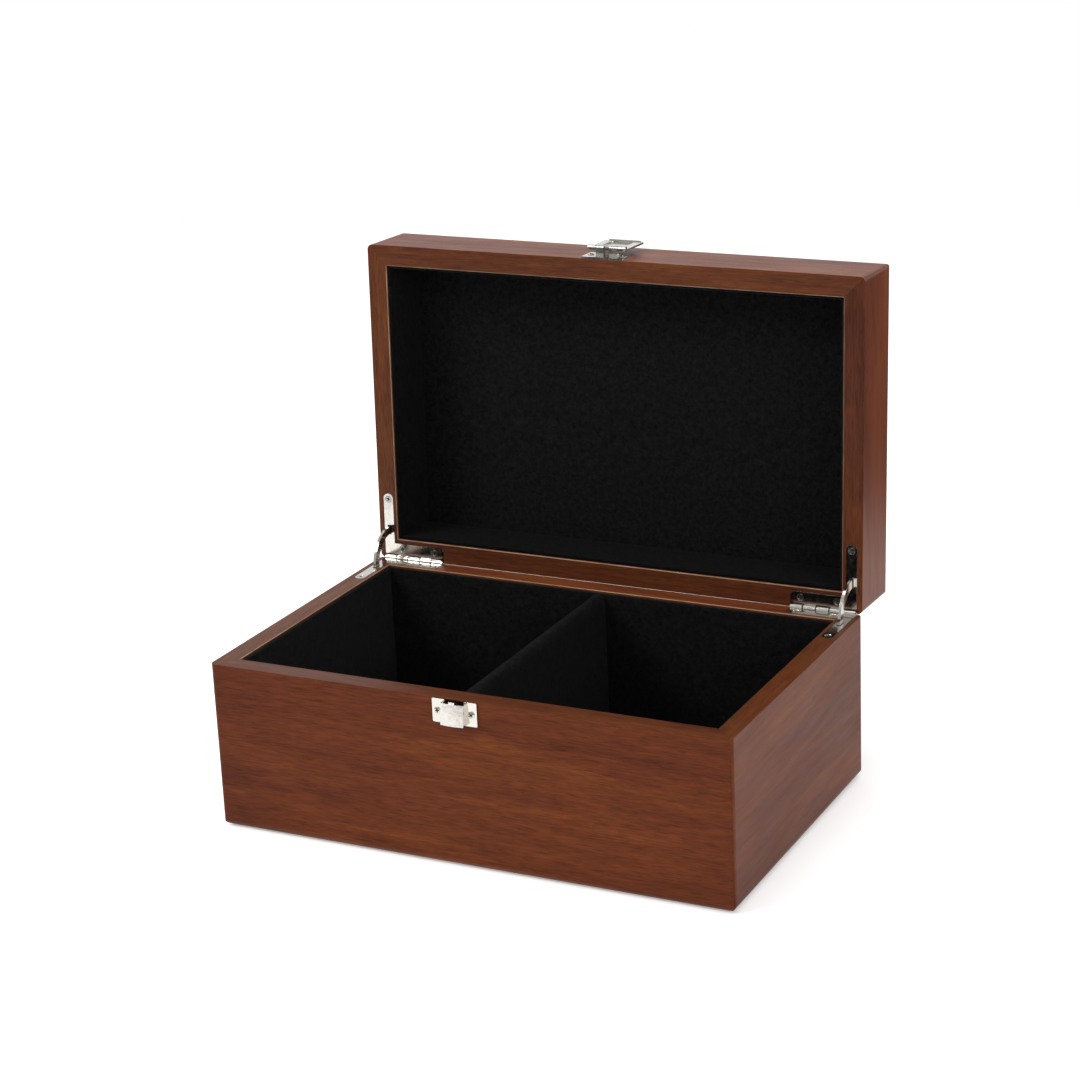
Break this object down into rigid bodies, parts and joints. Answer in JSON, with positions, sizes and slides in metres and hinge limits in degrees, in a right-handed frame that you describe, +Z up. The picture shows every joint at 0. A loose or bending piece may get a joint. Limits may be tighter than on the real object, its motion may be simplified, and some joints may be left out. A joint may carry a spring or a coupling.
{
  "type": "poker chip case",
  "caption": "Mitred mahogany chip case with a hinged lid, quadrant hinges, a front hasp and two felt-lined compartments.",
  "frame": {"origin": "centre of the underside", "axes": "+X to the right along the length, +Y to the hinges at the back, +Z up; the lid stands open 92 degrees"},
  "size_m": [0.28, 0.224, 0.2679],
  "materials": {
    "mahogany": "satin lacquer over fine straight grain",
    "mahogany_panel": "satin lacquer over veneer",
    "black_felt": "short fuzzy nap",
    "divider_core": "bare board, hidden under felt",
    "polished_nickel": "polished nickel plate",
    "plated_steel": "nickel-plated screws and pins"
  },
  "bodies": {
    "base": {"base_back_liner": "black_felt", "base_back_wall": "mahogany", "base_bottom_panel": "mahogany_panel", "base_front_liner": "black_felt", "base_front_wall": "mahogany", "base_left_liner": "black_felt", "base_left_wall": "mahogany", "base_right_liner": "black_felt", "base_right_wall": "mahogany", "catch_plate": "polished_nickel", "catch_screw_left": "plated_steel", "catch_screw_right": "plated_steel", "divider_board": "divider_core", "divider_cover": "black_felt", "floor_pad_left": "black_felt", "floor_pad_right": "black_felt", "left_base_hinge_screw_1": "plated_steel", "left_base_hinge_screw_2": "plated_steel", "left_base_hinge_screw_3": "plated_steel", "left_hinge_base_leaf": "polished_nickel", "left_hinge_pin": "plated_steel", "right_base_hinge_screw_1": "plated_steel", "right_base_hinge_screw_2": "plated_steel", "right_base_hinge_screw_3": "plated_steel", "right_hinge_base_leaf": "polished_nickel", "right_hinge_pin": "plated_steel"},
    "lid": {"hasp_pin": "plated_steel", "hasp_plate": "polished_nickel", "hasp_screw_left": "plated_steel", "hasp_screw_right": "plated_steel", "left_hinge_lid_leaf": "polished_nickel", "left_lid_hinge_screw_1": "plated_steel", "left_lid_hinge_screw_2": "plated_steel", "left_lid_hinge_screw_3": "plated_steel", "lid_back_liner": "black_felt", "lid_back_wall": "mahogany", "lid_ceiling_liner": "black_felt", "lid_front_liner": "black_felt", "lid_front_wall": "mahogany", "lid_left_liner": "black_felt", "lid_left_wall": "mahogany", "lid_right_liner": "black_felt", "lid_right_wall": "mahogany", "lid_top_panel": "mahogany_panel", "right_hinge_lid_leaf": "polished_nickel", "right_lid_hinge_screw_1": "plated_steel", "right_lid_hinge_screw_2": "plated_steel", "right_lid_hinge_screw_3": "plated_steel"},
    "left_arm": {"left_quadrant_arm": "polished_nickel"},
    "right_arm": {"right_quadrant_arm": "polished_nickel"},
    "hasp": {"hasp_flap": "polished_nickel"}
  },
  "joints": [
    {"name": "lid_hinge", "type": "hinge", "parent": "base", "child": "lid", "pos_m": [0, 0.087, 0.08805], "axis": [-1, 0, 0], "range_deg": [-92, 0]},
    {"name": "left_arm_swing", "type": "hinge", "parent": "base", "child": "left_arm", "pos_m": [-0.1341, 0.087, 0.08805], "axis": [-1, 0, 0], "range_deg": [-46, 0]},
    {"name": "right_arm_swing", "type": "hinge", "parent": "base", "child": "right_arm", "pos_m": [0.1341, 0.087, 0.08805], "axis": [-1, 0, 0], "range_deg": [-46, 0]},
    {"name": "hasp_hinge", "type": "hinge", "parent": "lid", "child": "hasp", "pos_m": [-0.002, 0.10009, 0.26655], "axis": [1, 0, 0], "range_deg": [0, 180]}
  ],
  "couplings": [
    {"joint": "left_arm_swing", "follows": "lid_hinge", "ratio": 0.5},
    {"joint": "right_arm_swing", "follows": "lid_hinge", "ratio": 0.5}
  ]
}
